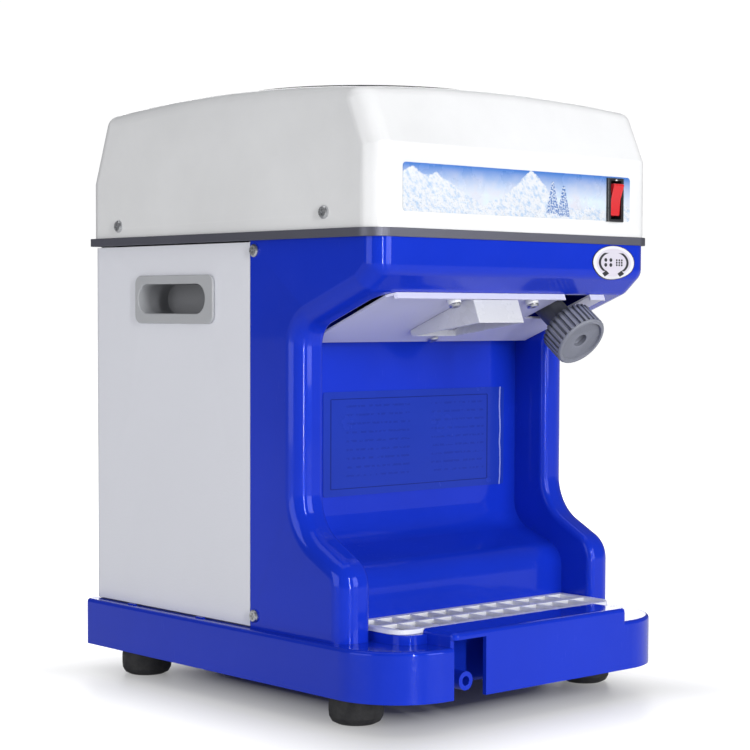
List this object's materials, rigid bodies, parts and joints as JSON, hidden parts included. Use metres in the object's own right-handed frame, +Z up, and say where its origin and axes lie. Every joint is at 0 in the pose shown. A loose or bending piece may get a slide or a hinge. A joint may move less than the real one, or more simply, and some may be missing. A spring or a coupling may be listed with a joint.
{
  "type": "shaved ice machine",
  "caption": "Counter-top shaved ice machine with a rounded blue front, an open serving bay, a removable drip grid, an angled snow chute, an adjusting knob and a lidded ice hopper.",
  "frame": {"origin": "on the counter, under the middle of the machine's overall box", "axes": "+Z up, the front with the serving bay faces -Y, +X to the viewer's right of the front"},
  "size_m": [0.268, 0.33, 0.4137],
  "materials": {
    "sticker_film": "printed film",
    "cast_aluminium": "cast",
    "steel": "plain steel",
    "knob_plastic": "slate grey moulded",
    "blue_plastic": "glossy moulded blue",
    "black_plastic": "black moulded",
    "can_plastic": "moulded can",
    "galvanised": "galvanised sheet",
    "chute_paint": "white coat",
    "white_plastic": "satin white",
    "clear_white_plastic": "white moulded",
    "deck_paint": "dark grey coat",
    "belt_rubber": "black rubber",
    "foot_rubber": "black rubber",
    "printed_film": "printed film",
    "sheet_film": "printed film",
    "cup_plastic": "grey moulded",
    "cover_plastic": "light grey moulded",
    "motor_shell": "cast, dull",
    "grey_paint": "light grey powder coat",
    "red_plastic": "red moulded",
    "brass": "brass"
  },
  "bodies": {
    "machine": {"adjust_sticker": "sticker_film", "adjuster_bracket": "cast_aluminium", "base_tray": "blue_plastic", "bearing_housing": "cast_aluminium", "blade_plate": "steel", "body_screws": "steel", "cable_gland": "black_plastic", "capacitor": "can_plastic", "capacitor_clamp": "galvanised", "chute_plate": "chute_paint", "chute_screws": "steel", "chute_spacers": "white_plastic", "chute_spout": "clear_white_plastic", "cover_screws": "steel", "deck_plate": "deck_paint", "drive_belt": "belt_rubber", "foot_back_left": "foot_rubber", "foot_back_right": "foot_rubber", "foot_front_left": "foot_rubber", "foot_front_right": "foot_rubber", "foot_screws": "steel", "front_housing": "blue_plastic", "front_label": "printed_film", "gland_nut": "black_plastic", "hopper_drum": "steel", "instruction_sheet": "sheet_film", "left_frame": "galvanised", "left_handle_cup": "cup_plastic", "lid_hinge_bracket": "cover_plastic", "lid_hinge_pin": "steel", "lower_bearing": "steel", "motor_bracket": "galvanised", "motor_housing": "motor_shell", "rear_panel": "grey_paint", "right_frame": "galvanised", "right_handle_cup": "cup_plastic", "snow_duct": "white_plastic", "switch_body": "black_plastic", "switch_terminals": "brass", "top_cover": "cover_plastic", "upper_bearing": "steel"},
    "drip_grid": {"drip_grid": "white_plastic"},
    "lid": {"lid": "black_plastic"},
    "rocker": {"switch_rocker": "red_plastic"},
    "knob": {"adjusting_knob": "knob_plastic", "adjuster_screw": "steel"},
    "wedge": {"adjuster_wedge": "steel"},
    "carrier": {"blade_carrier": "cast_aluminium", "blade": "steel", "blade_screws": "steel"},
    "cutter_spin": {"impeller": "cast_aluminium", "impeller_nut": "steel", "main_shaft": "steel", "driven_pulley": "cast_aluminium"},
    "motor_spin": {"motor_pulley": "cast_aluminium", "motor_shaft": "steel"}
  },
  "joints": [
    {"name": "grid_lift", "type": "slide", "parent": "machine", "child": "drip_grid", "axis": [0, 0, 1], "range_m": [0, 0.06]},
    {"name": "lid_hinge", "type": "hinge", "parent": "machine", "child": "lid", "pos_m": [0, 0.108, 0.4097], "axis": [-1, 0, 0], "range_deg": [0, 100]},
    {"name": "rocker_tilt", "type": "hinge", "parent": "machine", "child": "rocker", "pos_m": [0.0893, -0.1426, 0.3355], "axis": [-1, 0, 0], "range_deg": [0, 18]},
    {"name": "knob_turn", "type": "hinge", "parent": "machine", "child": "knob", "pos_m": [0.071, -0.1312, 0.2393], "axis": [0, 0.788, 0.6157], "range_deg": [-152, 152]},
    {"name": "wedge_slide", "type": "slide", "parent": "machine", "child": "wedge", "axis": [0, 0.788, 0.6157], "range_m": [-0.00125, 0.00125]},
    {"name": "carrier_lift", "type": "slide", "parent": "machine", "child": "carrier", "axis": [0, 0, 1], "range_m": [-0.00057, 0.00057]},
    {"name": "impeller_spin", "type": "hinge", "parent": "machine", "child": "cutter_spin", "pos_m": [0, -0.01, 0.3], "axis": [0, 0, 1], "continuous": true},
    {"name": "motor_spin", "type": "hinge", "parent": "machine", "child": "motor_spin", "pos_m": [0, 0.095, 0.25], "axis": [0, 0, 1], "continuous": true}
  ],
  "couplings": [
    {"joint": "knob_turn", "follows": "wedge_slide", "rad_per_m": 2094.4},
    {"joint": "carrier_lift", "follows": "wedge_slide", "ratio": 0.44},
    {"joint": "motor_spin", "follows": "impeller_spin", "ratio": 2.2}
  ]
}
